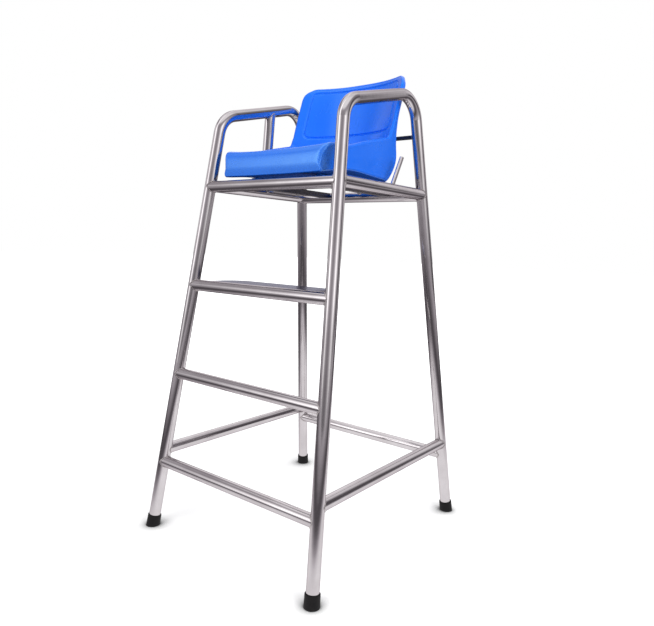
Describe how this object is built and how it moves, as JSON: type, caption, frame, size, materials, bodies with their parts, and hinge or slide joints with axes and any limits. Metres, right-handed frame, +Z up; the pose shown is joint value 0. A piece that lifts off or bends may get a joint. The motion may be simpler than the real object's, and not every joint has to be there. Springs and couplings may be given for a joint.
{
  "type": "lifeguard chair",
  "caption": "Tall pool lifeguard chair: two bent stainless tube side frames joined by welded rungs and rails, with a foot plate and a moulded plastic bucket seat.",
  "frame": {"origin": "On the floor, at the middle of the four feet.", "axes": "+Z up, the chair faces -Y, +X is the right side as seen from the front."},
  "size_m": [0.753, 0.8444, 1.5547],
  "materials": {
    "polished_tube": "polished stainless steel tube, mirror bright, with welds brushed at the joints",
    "plate_steel": "brushed stainless sheet with folded lips",
    "bearer_steel": "plain stainless box tube",
    "dark_bar": "dark coated round bar",
    "seat_plastic": "glossy blue moulded polyethylene",
    "black_rubber": "black moulded rubber"
  },
  "bodies": {
    "root": {"right_side_frame": "polished_tube", "left_side_frame": "polished_tube", "bottom_front_rung": "polished_tube", "middle_rung": "polished_tube", "top_rung": "polished_tube", "bottom_rear_rail": "polished_tube", "right_bottom_rail": "polished_tube", "left_bottom_rail": "polished_tube", "seat_front_rail": "polished_tube", "seat_rear_rail": "polished_tube", "right_seat_rail": "polished_tube", "left_seat_rail": "polished_tube", "left_arm_post": "polished_tube", "right_back_bracket": "polished_tube", "left_back_bracket": "polished_tube", "foot_plate": "plate_steel", "right_seat_bearer": "bearer_steel", "left_seat_bearer": "bearer_steel", "back_stay_bar": "dark_bar", "seat_shell": "seat_plastic", "front_right_spacer": "black_rubber", "front_left_spacer": "black_rubber", "rear_right_spacer": "black_rubber", "rear_left_spacer": "black_rubber", "front_right_foot": "black_rubber", "front_left_foot": "black_rubber", "rear_right_foot": "black_rubber", "rear_left_foot": "black_rubber"}
  },
  "joints": []
}
